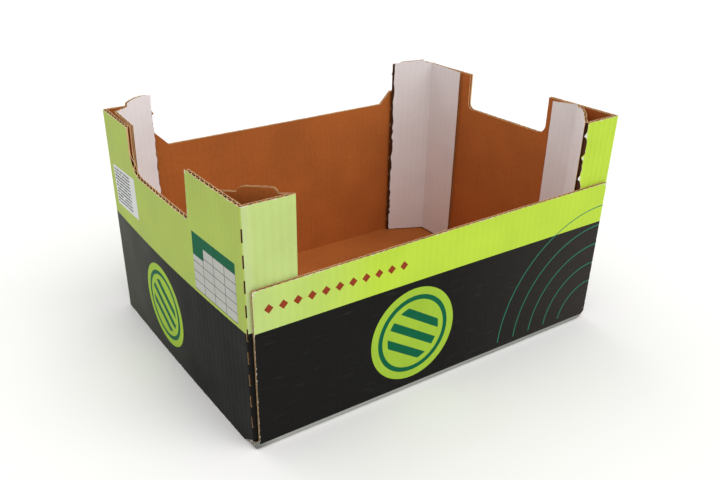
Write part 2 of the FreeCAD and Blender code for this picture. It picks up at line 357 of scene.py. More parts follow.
def printDisc(tree, colour, flat, values):
    # Plain round motif: a pale disc with a dark ring and slanted bars
    radius = values["discRadius"]
    offset = addNode(tree, "VectorMath", {0: flat, 1: values["disc"]}, operation="SUBTRACT")
    distance = addNode(tree, "VectorMath", {0: offset}, operation="LENGTH").outputs["Value"]
    slope = addNode(tree, "VectorMath", {0: offset, 1: discDesign["barSlope"]}, operation="DOT_PRODUCT")
    spacing, width = radius * discDesign["barSpacing"], radius * discDesign["barWidth"]
    bars = stripes(tree, slope.outputs["Value"], spacing, width)
    ring = bandMask(tree, distance, *(radius * share for share in discDesign["ring"]))
    whole, inner = (
        bandMask(tree, distance, -1.0, radius * share) for share in (1.0, discDesign["barReach"]))
    return layInks(tree, colour, (
        ("discGreen", whole), ("darkGreen", ring), ("darkGreen", bars, inner)))


def printFront(tree, colour, flat, parts):
    values, along, height = frontDesign, parts["X"], parts["Z"]
    printed = bandMask(tree, height, values["inkFoot"], farOff)
    band = bandMask(tree, height, values["bandFoot"], farOff)
    warm, full, shaded, cornerShadeMask = (fadeMask(tree, along, values[key]) for key in (
        "warmEnds", "sheenEnds", "shadeEnds", "cornerShadeEnds"))
    # The pale green towards the front's left end is painted sheen
    colour = layInks(tree, colour, (
        ("black", printed), ("warmBlack", printed, warm), ("sheenPaleGreen", band), ("green", band, full)))
    colour = printDisc(tree, colour, flat, values)
    distance = addNode(tree, "VectorMath", {0: flat, 1: values["arcCentre"]}, operation="DISTANCE")
    distance = distance.outputs["Value"]
    arcs = [
        stripes(tree, distance, values["arcSpacing"], values["arcWidth"]),
        bandMask(tree, distance, *values["arcEnds"]),
        bandMask(tree, height, values["arcFoot"], farOff),
    ]
    step = addNode(tree, "Math", {0: along, 1: values["diamondSpacing"] / 2}, operation="PINGPONG")
    rise = addNode(tree, "Math", {0: height, 1: values["diamondRow"]}, operation="SUBTRACT")
    rise = addNode(tree, "Math", {0: rise}, operation="ABSOLUTE")
    spread = addNode(tree, "Math", {0: step, 1: rise}, operation="ADD")
    diamonds = [
        bandMask(tree, spread, -1.0, values["diamondSize"]),
        bandMask(tree, along, *values["diamondEnds"]),
    ]
    # The bare bend and ear are drawn grey, darker at the near corner and towards the right: painted shade
    bend = bandMask(tree, height, values["bendFoot"], values["inkFoot"])
    ear = bandMask(tree, along, -farOff, values["bareEar"])
    return layInks(tree, colour, (
        ("teal", *arcs), ("redBrown", *diamonds), ("bendShadowGrey", bend), ("cornerShade", bend, cornerShadeMask),
        ("bendShadowGrey", ear), ("cornerShade", ear, cornerShadeMask), ("bendShade", bend, shaded)))


def printEnd(tree, colour, flat, parts):
    values, across, height = endDesign, parts["Y"], parts["Z"]
    reach = values["panelReach"]
    # Painted sheen: the black is drawn greyer towards the rear
    blackSheen = fadeMask(tree, across, values["blackSheenEnds"], values["blackSheenAmount"])
    band = bandMask(tree, height, values["bandFoot"], farOff)
    panel = [band, bandMask(tree, parts["X"], -reach, reach)]
    # The left end's corner panels keep the paler green, a painted sheen; the right end's get the full green
    right = fadeMask(tree, parts["X"], (-reach / 2, reach / 2))
    # Painted highlight: the green drawn paler along the near corner fold
    paled = fadeMask(tree, parts["X"], values["foldHighlightEnds"], values["foldHighlightAmount"])
    # The end walls' green band is drawn greyer: painted sheen
    colour = layInks(tree, colour, (
        ("black", bandMask(tree, height, -farOff, farOff)), ("sheenBlack", blackSheen), ("endSheenGreen", band),
        ("sheenPaleGreen", *panel), ("green", *panel, right), ("foldHighlightGreen", *panel, paled)))
    colour = printDisc(tree, colour, flat, values)
    (front, rear), (foot, head) = values["tableEnds"], values["tableHeights"]
    headerFoot = head - values["tableHeader"]
    inside = [bandMask(tree, across, front, rear), bandMask(tree, height, foot, head)]
    fromFront = addNode(tree, "Math", {0: across, 1: front}, operation="SUBTRACT")
    fromHeader = addNode(tree, "Math", {0: headerFoot, 1: height}, operation="SUBTRACT")
    columns, rows = (
        stripes(tree, distance, values[spacing], values["tableLine"])
        for distance, spacing in ((fromFront, "tableColumn"), (fromHeader, "tableRow")))
    blockWidth, blockHeight = values["tableBlock"]
    header = bandMask(tree, height, headerFoot, head)
    block = [
        bandMask(tree, across, rear - blockWidth, rear),
        bandMask(tree, height, headerFoot - blockHeight, head),
    ]
    return layInks(tree, colour, (
        ("tableWhite", *inside), ("black", *inside, columns), ("black", *inside, rows),
        ("darkGreen", *inside, header), ("darkGreen", *inside, *block)))


endPrint = dict(
    whitePaper, fluteShade=0.012, roughness=0.55, specular=0.08, relief=0.15, cloudShade=0.05,
    design=printEnd, plane=(0.0, 1.0, 1.0))
wrapPrint = dict(endPrint, design=printFront, plane=(1.0, 0.0, 1.0))

wear = {
    "chipSize": 3.0,
    "chipNoise": (0.5, 0.75),
    "chipAmount": 0.9,  # the ink has chipped off at most this far from an edge
    "scuffSize": 2.4,
    "scuffStretch": (0.1, 1.0, 1.0),
    "scuffNoise": (0.62, 0.85),
    "scuffAmount": 0.03,
}


def wearOff(tree, printed):
    # Ink chipped off along cut edges, and faint rubbed streaks in the open print
    blank = blankPlace(tree)
    distance = addNode(tree, "Attribute", attribute_name="edgeDistance").outputs["Fac"]
    reach = spots(tree, blank, wear, "chip", 3.0)
    chipped = addNode(tree, "Math", {0: distance, 1: reach}, operation="LESS_THAN")
    stretched = addNode(tree, "Mapping", {"Vector": blank, "Scale": wear["scuffStretch"]})
    paled = spots(tree, stretched, wear, "scuff", 2.0)
    return layInks(tree, printed, (("chippedWhite", chipped), ("chippedWhite", paled)))


def printedLiner(tree, values):
    # White-top kraft printed in flat inks: satin colour with a slightly uneven lay-down
    place = addNode(tree, "TexCoord").outputs["Object"]
    place = addNode(tree, "VectorMath", {0: place, "Scale": 1 / mm}, operation="SCALE")
    parts = addNode(tree, "SeparateXYZ", {"Vector": place}).outputs
    flat = addNode(tree, "VectorMath", {0: place, 1: values["plane"]}, operation="MULTIPLY")
    printed = values["design"](tree, hexColour(values["colour"]), flat, parts)
    return finePaper(tree, wearOff(tree, printed), values)


labelStock = dict(
    whitePaper, colour="#D2D4D3", fluteShade=0.0, specular=0.3, rulePitch=3.3, ruleWidth=1.35, ruleMargin=3.2,
    blankFront=15.0, breakSize=5.0, breakStretch=(1.0, 2.0, 1.0), breakShare=0.4)


def labelPaper(tree, values):
    # Plain matt label stock: pale grey, with broken blank rules and an empty field beside them
    blank = blankPlace(tree)
    place = addNode(tree, "VectorMath", {0: blank, "Scale": 1 / mm}, operation="SCALE")
    parts = addNode(tree, "SeparateXYZ", {"Vector": place}).outputs
    margin = values["ruleMargin"]
    stretched = addNode(tree, "Mapping", {"Vector": blank, "Scale": values["breakStretch"]})
    breaks = addNode(tree, "TexNoise", {"Vector": stretched, "Scale": patternScale(values["breakSize"])})
    rules = [
        stripes(tree, parts["Y"], values["rulePitch"], values["ruleWidth"]),
        bandMask(tree, breaks, values["breakShare"], 1.0),
        bandMask(tree, parts["Y"], labelLow.z + margin, labelHigh.z - margin),
        bandMask(tree, parts["X"], labelLow.y + values["blankFront"], labelHigh.y - margin),
    ]
    colour = layInks(tree, hexColour(values["colour"]), [("black", *rules)])
    return finePaper(tree, colour, values)


materials = {
    "kraft": makeMaterial("kraftLiner", kraftLiner, kraftPaper),
    "white": makeMaterial("whiteTopLiner", plainPaper, whitePaper),
    "fluting": makeMaterial("flutingMedium", plainPaper, flutingPaper),
    "cutEdge": makeMaterial("cutBoardEdge", plainPaper, cutPaper),
    "printedEnd": makeMaterial("printedEndLiner", printedLiner, endPrint),
    "printedWrap": makeMaterial("printedWrapLiner", printedLiner, wrapPrint),
    "label": makeMaterial("labelStock", labelPaper, labelStock),
}
print("materials made:", len(materials))

tiny = 1e-6  # what counts as nothing, in steps of a lattice
sliverArea = 1e-9
latticeClearance = 0.45  # lattice points nearer than this to an edge would make slivers
edgeStep = 2.0  # upright spacing of the points on an edge
edgeWave = 4.0  # spacing of the fraying along an upright edge
rimWave = 2.0  # the same along a rim or a foot
sharpAngle = 40.0  # degrees between faces that aren't shaded as one


def subdivide(points, step):
    # Points along straight runs, no further apart than the step along or up
    points = [np.array(point, float) for point in points]
    result = []
    for start, end in zip(points, points[1:]):
        span = np.max(np.abs(end - start) / step)
        count = max(1, math.ceil(span - tiny))
        result += [start + (end - start) * number / count for number in range(count)]
    return np.array(result + [points[-1]])


def wander(positions, spacing, amount, seed):
    # Smooth seeded noise along an edge, between -amount and amount
    low, high = np.min(positions) - spacing, np.max(positions) + 2 * spacing
    knots = np.arange(low, high + spacing, spacing)
    values = np.random.default_rng(seed).uniform(-amount, amount, len(knots))
    return np.interp(positions, knots, values)


def outlineBetween(foot, rim, leftEdge, rightEdge, step, fray, seed):
    # Closed outline of a paper: foot and rim are corner points from left to right, and
    # the edges are functions of height
    lines = []
    for corners, sign, lineSeed in ((foot, 1, seed), (rim, -1, seed + 1)):
        line = subdivide(corners, step)
        line[:, 1] += sign * np.abs(wander(line[:, 0], rimWave, fray, lineSeed))
        low, high = leftEdge(line[:, 1]) + step[0] / 2, rightEdge(line[:, 1]) - step[0] / 2
        lines.append(line[(line[:, 0] > low) & (line[:, 0] < high)])
    footLine, rimLine = lines
    sides = []
    for edge, end in ((leftEdge, 0), (rightEdge, -1)):
        count = max(2, int((rimLine[end][1] - footLine[end][1]) / step[1]))
        heights = np.linspace(footLine[end][1], rimLine[end][1], count + 1)
        sides.append(np.column_stack([edge(heights), heights]))
    leftLine, rightLine = sides
    return np.concatenate([footLine, rightLine, rimLine[::-1], leftLine[::-1]])


def cutFlat(outline, slits, columns, rows):
    # Triangles of a flat paper, on a lattice of columns and rows inside its outline
    def toLattice(points):
        return np.column_stack([
            np.interp(points[:, 0], columns, np.arange(len(columns))),
            np.interp(points[:, 1], rows, np.arange(len(rows)))])

    loops = [toLattice(outline)]
    for low, high, foot, head in slits:
        loops.append(toLattice(np.array([(low, foot), (high, foot), (high, head), (low, head)], float)))
    keep = np.zeros((len(columns), len(rows)), bool)
    x, y = loops[0].T
    nextX, nextY = np.roll(x, -1), np.roll(y, -1)
    for column in range(len(columns)):
        at = column + tiny
        crosses = (x <= at) != (nextX <= at)
        heights = y[crosses] + (at - x[crosses]) * (nextY - y)[crosses] / (nextX - x)[crosses]
        keep[column] = np.searchsorted(np.sort(heights), np.arange(len(rows))) % 2 == 1
    for loop in loops:
        ends = np.roll(loop, -1, axis=0)
        for part in (0.0, 0.25, 0.5, 0.75):
            near = loop + (ends - loop) * part
            cell = np.rint(near).astype(int)
            close = np.max(np.abs(near - cell), axis=1) < latticeClearance
            keep[cell[close, 0], cell[close, 1]] = False
    for loop in loops[1:]:
        low, high = np.ceil(loop.min(0)).astype(int), np.floor(loop.max(0)).astype(int)
        keep[low[0]:high[0] + 1, low[1]:high[1] + 1] = False
    points = np.concatenate(loops + [np.argwhere(keep).astype(float)])
    edges = []
    start = 0
    for loop in loops:
        edges += [(start + number, start + (number + 1) % len(loop)) for number in range(len(loop))]
        start += len(loop)
    found = delaunay_2d_cdt([Vector(point) for point in points.tolist()], edges, [], 1, tiny)
    places = np.array([(v.x, v.y) for v in found[0]])
    triangles = np.array([face for face in found[2] if len(face) == 3])
    middles = places[triangles].mean(1)
    cutOut = np.zeros(len(triangles), bool)
    for loop in loops[1:]:
        cutOut |= np.all((middles > loop.min(0)) & (middles < loop.max(0)), axis=1)
    triangles = triangles[~cutOut]
    first, second, third = (places[triangles[:, corner]] for corner in range(3))
    area = np.cross(second - first, third - first)
    triangles[area < 0] = triangles[area < 0][:, ::-1]
    used, triangles = np.unique(triangles[np.abs(area) > sliverArea], return_inverse=True)
    places = places[used]
    flat = np.column_stack([
        np.interp(places[:, 0], np.arange(len(columns)), columns),
        np.interp(places[:, 1], np.arange(len(rows)), rows)])
    return flat, triangles.reshape(-1, 3)


def edgeDistances(points, edgePoints):
    # How far each point of a flat paper is from the nearest point of its cut edges
    result, blockSize = np.empty(len(points)), 1000
    for start in range(0, len(points), blockSize):
        block = points[start:start + blockSize]
        across = block[:, :1] - edgePoints[:, 0]
        upwards = block[:, 1:] - edgePoints[:, 1]
        result[start:start + blockSize] = np.sqrt(np.min(across ** 2 + upwards ** 2, axis=1))
    return result


def paperSheet(name, edges, fray, seed, lattice, slits, place, faces, surfaces, node, step=edgeStep):
    # Closed paper between two depths from the middle of its board; surfaces are its face, back and cut edge
    columns, rows = lattice
    outline = outlineBetween(*edges, (columns[1] - columns[0], step), fray, seed)
    flat, triangles = cutFlat(outline, slits, columns, rows)
    along, up = flat.T
    outer, inner = (place(along, up, depth(along, up)) for depth in faces)
    corners = outer[triangles]
    normals = np.cross(corners[:, 1] - corners[:, 0], corners[:, 2] - corners[:, 0])
    if np.sum(normals * (outer - inner)[triangles[:, 0]]) < 0:
        triangles = triangles[:, ::-1]
    sides = np.concatenate([triangles[:, [0, 1]], triangles[:, [1, 2]], triangles[:, [2, 0]]])
    codes = sides[:, 0].astype(np.int64) * len(flat) + sides[:, 1]
    backwards = sides[:, 1].astype(np.int64) * len(flat) + sides[:, 0]
    rim = sides[~np.isin(codes, backwards)]
    count = len(flat)
    walls = np.column_stack([rim[:, 1], rim[:, 0], rim[:, 0] + count, rim[:, 1] + count])
    mesh = bpy.data.meshes.new(name)
    polygons = triangles.tolist() + (triangles[:, ::-1] + count).tolist() + walls.tolist()
    mesh.from_pydata((np.concatenate([outer, inner]) * mm).tolist(), [], polygons)
    for surface in surfaces:
        mesh.materials.append(materials[surface])
    slots = np.repeat([0, 1, 2], [len(triangles), len(triangles), len(walls)])
    mesh.polygons.foreach_set("material_index", slots)
    blank = mesh.attributes.new("blank", "FLOAT_VECTOR", "POINT")
    flatPlaces = np.column_stack([along, up, np.zeros(count)]) * mm
    blank.data.foreach_set("vector", np.concatenate([flatPlaces, flatPlaces]).ravel())
    distance = mesh.attributes.new("edgeDistance", "FLOAT", "POINT")
    fromEdge = edgeDistances(flat, outline)
    distance.data.foreach_set("value", np.concatenate([fromEdge, fromEdge]))
    mesh.shade_smooth()
    mesh.set_sharp_from_angle(angle=math.radians(sharpAngle))
    mesh.update()
    piece = addObject(name, mesh)
    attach(piece, "root")
    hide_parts(node)
    print(name, "triangles", 2 * len(triangles) + 2 * len(walls))


wallBow = 1.1  # how far the front and rear rims are drawn in, halfway along

endBoard = {
    "thickness": 4.0,
    "liner": 0.62,
    "fluting": 0.75,
    "flutePitch": 7.4,
    "fluteSink": 0.04,  # how far the flute tips sink into a liner
    "washboard": 0.07,  # how far a liner sinks between two flute tips
    "panelWashboard": 0.42,  # the same on the corner panels, where the glue has drawn it in
    "creaseLoss": 0.35,  # share of its depth that the inner side loses in a fold
    "creaseWidth": 3.0,
    "bendReach": 0.8,  # how far a bend goes on past its mitre
}

endPiece = {
    "rim": 218.0,
    "panelFoot": 4.0,
    "glueGap": 0.2,
    "frontFold": 45.0,
    "frontTab": 31.0,
    "rearPanel": 51.0,
    "rearFold": 22.0,
    "slitLength": 11.0,
    "slitWidth": 1.3,
    "slitSpread": 0.7,  # a cut's width in the flat sheet, as a share of its width in the bent one
    "slitPitch": 20.9,
    "slitTopMargin": 17.0,
    "slitBottomMargin": 20.0,
    "tieWidth": 2.2,  # uncut ties between the cuts along a post edge
    "notchPoints": 9,  # along each of the notch's rounded corners
    "footCut": 16.0,
    "footCutHeight": 8.0,
    "edgeFray": 0.25,
    "tabFray": 0.15,
    "cleanFray": 0.08,  # printed liner that is carried whole round a fold
    "frontFray": 0.45,  # white liner beside torn edges, at the front and the rear
    "rearFray": 0.7,
    "rearSetBack": 1.0,  # how far the white liner has come off at the rear folds
    "liningGap": 0.1,  # between printed and white liner where neither is torn
    "bulgeHeights": (0.0, 60.0, 113.0, 175.0, 218.0),
    "bulgeShares": (0.3, 0.8, 1.0, 0.8, 0.5),
    "bulgeStart": 150.0,  # the posts take up the bulge from here out to the end wall
    "bulgeRun": 42.0,
    "flapCrush": 0.66,  # share of its thickness that a glued flap keeps
    "crushRun": 6.0,
    "lean": 0.35,  # how lopsided the torn scallops are
    "scallopPower": 0.6,  # below 1 makes them blunt
    "tearRough": 0.5,
    "tearWaves": (1.7, 5.0),
    "tieReach": 1.1,  # share of the open gap that a tie spans
    "lattice": {"outer": (8, 29), "fluting": (12, 14), "inner": (8, 29)},  # columns per flute, and rows
}

# Lugs are distances from the post edge and heights over the rim, tears go from the rim down, and
# skew is how far the sheet sits too high at its two ends and six folds, from the front tab to the rear one.
leftEnd = {
    "side": -1,
    "frontPanel": 47.0,
    "frontLug": ((11.0, 12.4, 14.4, 17.0, 37.0, 39.8, 41.8, 43.0), (0.0, 2.8, 4.3, 4.7, 4.6, 4.0, 2.6, 0.0)),
    "frontTears": (),
    "rearLug": ((0.0, 0.4, 2.2, 6.1, 13.0, 19.8, 25.3, 32.3, 33.0),
                (0.0, 3.9, 6.5, 8.4, 8.9, 8.9, 8.4, 6.8, 3.0)),
    "rearRise": (2.0, 0.0),  # rim over the post's inner fold and at the tab's end
    "rearTears": (1.0, 2.4, 0.9, 2.8, 1.6, 2.2, 3.1, 1.3, 2.0, 1.2),
    "rearTab": 45.0,
    "rearGap": 0.9,
    "notchEnds": (91.0, 219.5),
    "notchFloor": 175.5,
    "notchRadii": (3.0, 21.0),
    "bulge": 3.9,
    "skew": (-3.0, -3.0, 0.0, 0.0, 0.0, 0.0, 0.0, 0.0),
    "seed": 10,
}

rightEnd = {
    "side": 1,
    "frontPanel": 44.5,
    "frontLug": ((11.0, 12.6, 15.5, 20.0, 27.0, 34.0, 39.0, 42.0, 43.0),
                 (0.0, 2.0, 3.3, 4.0, 4.0, 3.5, 2.6, 1.2, 0.0)),
    "frontTears": (0.6, 2.2, 1.2, 3.0, 2.5, 1.5, 2.6, 1.2, 2.0, 1.0),
    "rearLug": ((0.4, 7.6, 13.5, 19.5, 25.6, 31.6, 36.4, 37.7, 40.2),
                (0.0, 1.3, 2.3, 2.8, 3.1, 3.5, 4.3, 3.0, 1.2)),
    "rearRise": (0.3, 0.0),
    "rearTears": (1.4, 2.0, 2.8, 1.0, 2.3, 3.0, 1.6, 1.1, 2.4, 1.5),
    "rearTab": 50.0,
    "rearGap": 0.2,
    "notchEnds": (84.0, 202.0),
    "notchFloor": 179.0,
    "notchRadii": (10.0, 7.0),
    "bulge": 0.8,
    "skew": (-2.3, 1.5, 0.0, 0.6, -3.0, -0.5, -1.0, -2.0),
    "seed": 50,
}


def foldedPath(corners, halfBoard):
    # Straight runs and folds of a sheet seen along its flutes, as complex numbers
    corners = np.array([complex(*corner) for corner in corners])
    runs = np.diff(corners)
    headings, marks = runs / np.abs(runs), np.concatenate([[0.0], np.cumsum(np.abs(runs))])
    folds = []
    for number in range(1, len(corners) - 1):
        before, after = headings[number - 1], headings[number]
        turn = np.angle(after / before)
        reach = halfBoard * math.tan(abs(turn) / 2) + endBoard["bendReach"]
        folds.append({"mark": marks[number], "corner": corners[number], "before": before,
                      "after": after, "turn": turn, "reach": reach})
    return {"corners": corners, "headings": headings, "marks": marks, "folds": folds}


def alongPath(path, along, depth):
    # Place of points along the sheet, at a depth to the left of its middle
    run = np.clip(np.searchsorted(path["marks"], along, side="right") - 1, 0, len(path["headings"]) - 1)
    place = path["corners"][run] + path["headings"][run] * (along - path["marks"][run] + 1j * depth)
    for fold in path["folds"]:
        near = np.abs(along - fold["mark"]) < fold["reach"]
        offset, turn, reach = depth[near], fold["turn"], fold["reach"]
        share = (along[near] - fold["mark"]) / reach / 2 + 0.5
        inside = offset * turn > 0
        size = np.abs(offset)
        flat = reach - np.where(inside, size * math.tan(abs(turn) / 2), 0.0)
        arc = np.where(inside, 0.0, size * abs(turn))
        travel = share * (2 * flat + arc)
        angle = np.sign(turn) * np.clip((travel - flat) / np.maximum(size, tiny), 0, abs(turn))
        first = fold["before"] * (travel - reach + 1j * offset)
        curved = fold["before"] * 1j * np.exp(1j * angle) * offset
        last = fold["after"] * (travel - 2 * flat - arc + reach + 1j * offset)
        bent = np.where(travel < flat, first, np.where(travel < flat + arc, curved, last))
        place[near] = fold["corner"] + bent
    return place


def settle(points):
    # The front and rear walls are drawn in a little between their corners
    x, y, z = points.T
    height = np.clip(z / endPiece["rim"], 0, 1)
    bow = wallBow * height * np.cos(np.clip(x / halfLength, -1, 1) * math.pi / 2) ** 2
    return np.column_stack([x, y * (1 - bow / wrapHigh.y), z])


def shifted(depth, amount):
    # The same depth function, moved outwards
    return lambda along, up: depth(along, up) + amount


def boardDepths(board, folds, panels=()):
    # Depths of the three papers from the middle of their board
    half = board["thickness"] / 2
    wave = half - board["liner"] - board["fluting"] / 2 + board["fluteSink"]

    def ripple(along):
        return np.sin(2 * math.pi * along / board["flutePitch"])

    def crease(along):
        near = np.zeros_like(along)
        for fold in folds:
            near += np.exp(-((along - fold["mark"]) / board["creaseWidth"]) ** 2)
        return 1 - board["creaseLoss"] * np.clip(near, 0, 1)

    def outerFace(along, up):
        onPanel = sum(((along > low) & (along < high)) * 1.0 for low, high in panels)
        sink = board["washboard"] + (board["panelWashboard"] - board["washboard"]) * onPanel
        return half - sink * (1 - ripple(along)) / 2

    def fluteFace(along, up):
        middle = wave * ripple(along)
        return np.where(middle < 0, middle * crease(along), middle) + board["fluting"] / 2

    def innerFace(along, up):
        return -(half - board["washboard"] * (1 + ripple(along)) / 2) * crease(along)

    return {
        "outer": (outerFace, shifted(outerFace, -board["liner"])),
        "fluting": (fluteFace, shifted(fluteFace, -board["fluting"])),
        "inner": (shifted(innerFace, board["liner"]), innerFace),
    }


def notchRim(start, values):
    # Rim points of the hand notch, from its front side to its rear side
    front, rear = (start + end for end in values["notchEnds"])
    angles = np.linspace(0, math.pi / 2, endPiece["notchPoints"])
    arcs = []
    for end, radius in zip((front, rear), (values["notchRadii"][0], -values["notchRadii"][1])):
        arcs.append([
            (end + radius * (1 - math.cos(a)), values["notchFloor"] + abs(radius) * (1 - math.sin(a)))
            for a in angles])
    return [(front, endPiece["rim"])] + arcs[0] + arcs[1][::-1] + [(rear, endPiece["rim"])]


def tornBack(start, direction, tears, tieReach, seed):
    # Edge of a liner torn back in uneven scallops between the uncut ties of a perforated fold
    pitch, tieWidth = endPiece["slitPitch"], endPiece["tieWidth"]
    topTie = endPiece["rim"] - endPiece["slitTopMargin"] - endPiece["slitLength"] / 2 + pitch / 2

    def edge(up):
        phase = (topTie - up) / pitch
        number = np.clip(np.floor(phase) + 1, 0, len(tears) - 1).astype(int)
        leans = np.random.default_rng(seed).uniform(-endPiece["lean"], endPiece["lean"], len(tears))
        share = np.clip(phase - np.floor(phase), 0, 1)
        scallop = np.sin(math.pi * share ** (1 + leans[number])) ** endPiece["scallopPower"]
        rough = sum(
            wander(up, wave, endPiece["tearRough"], seed + 1 + order)
            for order, wave in enumerate(endPiece["tearWaves"]))
        held = np.exp(-((phase - np.rint(phase)) * pitch / tieWidth) ** 2)
        torn = np.maximum(np.array(tears)[number] + rough, 0.0) * scallop
        return start + direction * (torn - tieReach * held)

    return edge


def postEdge(mark, gap, direction, tears, seed):
    # Where the printed liner ends at a post edge: torn back, or whole and carried round the fold
    if not tears:
        return straightEdge(mark - direction * (gap - endPiece["liningGap"]), endPiece["cleanFray"], seed)
    return tornBack(mark + direction * gap, direction, tears, endPiece["tieReach"] * gap, seed)


def straightEdge(start, fray, seed):
    def edge(up):
        return start + wander(up, edgeWave, fray, seed)
    return edge


def endPath(values):
    # Plan of an end sheet from one glue tab to the other, seen from its front left corner
    half, depth = endBoard["thickness"] / 2, leftHigh.y - leftLow.y
    frontTabLine = endBoard["thickness"] + endPiece["glueGap"] + half
    rearTabLine = endBoard["thickness"] + values["rearGap"] + half
    return foldedPath([
        (frontTabLine, endPiece["frontFold"] + endPiece["frontTab"]),
        (frontTabLine, endPiece["frontFold"]),
        (values["frontPanel"] - half, half),
        (half, half),
        (half, depth - half),
        (endPiece["rearPanel"] - half, depth - half),
        (rearTabLine, depth - endPiece["rearFold"]),
        (rearTabLine, depth - endPiece["rearFold"] - values["rearTab"]),
    ], half)


def endPlace(values, path):
    # Folds an end sheet into place, with its skew and the bulge of its wall
    depth, half, marks = leftHigh.y - leftLow.y, endBoard["thickness"] / 2, path["marks"]

    def place(along, up, offset):
        intoFlap = np.clip(np.maximum(marks[2] - along, along - marks[5]) / endPiece["crushRun"], 0, 1)
        thinned = (offset + half) * (1 - (1 - endPiece["flapCrush"]) * intoFlap) - half
        plan = alongPath(path, along, thinned)
        x = halfLength - plan.real
        reach = values["bulge"] * np.interp(up, endPiece["bulgeHeights"], endPiece["bulgeShares"])
        reach *= np.sin(math.pi * np.clip(plan.imag / depth, 0, 1))
        x += reach * np.clip((x - endPiece["bulgeStart"]) / endPiece["bulgeRun"], 0, 1)
        z = up + np.interp(along, path["marks"], values["skew"]) * np.clip(up / endPiece["rim"], 0, 1)
        return settle(np.column_stack([values["side"] * x, plan.imag + leftLow.y, z]))

    return place


def endOutline(values, marks):
    # Corner points of an end sheet's rim and foot, from tab to tab
    rim = endPiece["rim"]
    frontLug = [(marks[2] - distance, rim + height) for distance, height in zip(*values["frontLug"])][::-1]
    rearLug = [(marks[5] + distance, rim + height) for distance, height in zip(*values["rearLug"])]
    half, panelFoot, cutHeight = endBoard["thickness"] / 2, endPiece["panelFoot"], endPiece["footCutHeight"]
    notch = notchRim(marks[3] - half, values)
    foldRise, endRise = values["rearRise"]
    rearRim = [(marks[6], rim + foldRise), (marks[-1], rim + endRise)]
    rimLine = [(0.0, rim)] + frontLug + notch + rearLug + rearRim
    cut = endPiece["footCut"] - half
    footLine = [
        (0.0, panelFoot), (marks[3] - cut, panelFoot), (marks[3] - cut, cutHeight),
        (marks[3] + half, cutHeight), (marks[3] + cut, 0.0), (marks[4] + half, 0.0),
        (marks[4] + half, panelFoot), (marks[-1], panelFoot)]
    return rimLine, footLine


def cornerSlits(marks):
    # Narrow cuts down both corner folds
    half, length = endPiece["slitWidth"] / 2 * endPiece["slitSpread"], endPiece["slitLength"]
    highest = endPiece["rim"] - endPiece["slitTopMargin"]
    slits = []
    for number in range(int((highest - endPiece["slitBottomMargin"] - length) / endPiece["slitPitch"]) + 1):
        head = highest - number * endPiece["slitPitch"]
        slits += [(mark - half, mark + half, head - length, head) for mark in marks[3:5]]
    return slits


def splitHalf(fold):
    # Half of the gap that opens where the printed liner is cut along a post edge
    arc = endBoard["thickness"] / 2 * abs(fold["turn"])
    return fold["reach"] * arc / (2 * fold["reach"] + arc)


def buildEndPiece(name, values):
    path = endPath(values)
    marks, folds, seed = path["marks"], path["folds"], values["seed"]
    rimLine, footLine = endOutline(values, marks)
    slits = cornerSlits(marks)
    depths = boardDepths(endBoard, folds, [marks[2:4], marks[4:6]])
    place = endPlace(values, path)
    frontGap, rearGap = splitHalf(folds[1]), splitHalf(folds[4])
    start, end = (
        straightEdge(mark, endPiece["tabFray"], seed + order) for order, mark in enumerate((0.0, marks[-1])))
    frontEdge = straightEdge(
        marks[2] - frontGap, endPiece["frontFray" if values["frontTears"] else "cleanFray"], seed + 2)
    rearEdge = straightEdge(marks[5] + rearGap + endPiece["rearSetBack"], endPiece["rearFray"], seed + 9)
    printStart = postEdge(marks[2], frontGap, 1, values["frontTears"], seed + 3)
    printEdge = postEdge(marks[5], rearGap, -1, values["rearTears"], seed + 6)
    papers = [
        ("frontFlap", "outer", start, frontEdge, "white"),
        ("printed", "outer", printStart, printEdge, "printedEnd"),
        ("rearFlap", "outer", rearEdge, end, "white"),
        ("fluting", "fluting", start, end, "fluting"),
        ("kraft", "inner", start, end, "kraft"),
    ]
    for number, (part, layer, leftEdge, rightEdge, surface) in enumerate(papers):
        perFlute, rowCount = endPiece["lattice"][layer]
        columns = np.linspace(0.0, marks[-1], int(marks[-1] / endBoard["flutePitch"] * perFlute) + 1)
        rows = np.linspace(0.0, leftHigh.z, rowCount)
        paperSheet(
            name + "_" + part, (footLine, rimLine, leftEdge, rightEdge), endPiece["edgeFray"],
            seed + 20 + 2 * number, (columns, rows), [] if surface == "white" else slits, place,
            depths[layer], (surface, "kraft", "cutEdge"), name + "_end_piece")


buildEndPiece("left", leftEnd)
buildEndPiece("right", rightEnd)
print("end pieces folded")

wrapBoard = dict(
    endBoard, thickness=3.0, flutePitch=6.3, liner=0.5, fluting=0.6, washboard=0.06,
    creaseLoss=0.6, creaseWidth=4.0)

wrap = {
    "frontHeight": 152.0,
    "rearHeight": 171.0,
    "earHeight": 185.0,
    "earLength": 46.0,
    "earSlope": 14.0,
    "bendRadius": 1.0,  # inner side of both bends
    "cornerCut": 7.0,
    "bendEarRise": 9.5,  # the ear at the front bend's left end: up the wall, and in under the bottom
    "bendEarRun": 14.0,
    "bendEarCurl": 3.0,  # its outer liner is rolled up round the end at this radius
    "bendEarClearance": 0.3,  # from the rolled liner to the end wall's foot
    "bendEarStep": 0.5,
    "bendEarLap": 0.9,
    "frontTilt": 1.8,  # the front rim is this much too high at its right end and too low at its left one
    "edgeFray": 0.25,
    "endFray": 0.15,
    "lattice": {"outer": (6, 13.0), "fluting": (10, 22.0), "inner": (6, 13.0)},  # columns per flute, row step
    "bendRows": (2.2, 8),  # rows over a bend: how far from its middle, and how many
    "rowClearance": 2.0,
    "seed": 90,
}
bendStart = wrapHigh.y - wrap["bendRadius"] - wrapBoard["thickness"]  # from the box's middle, on the floor


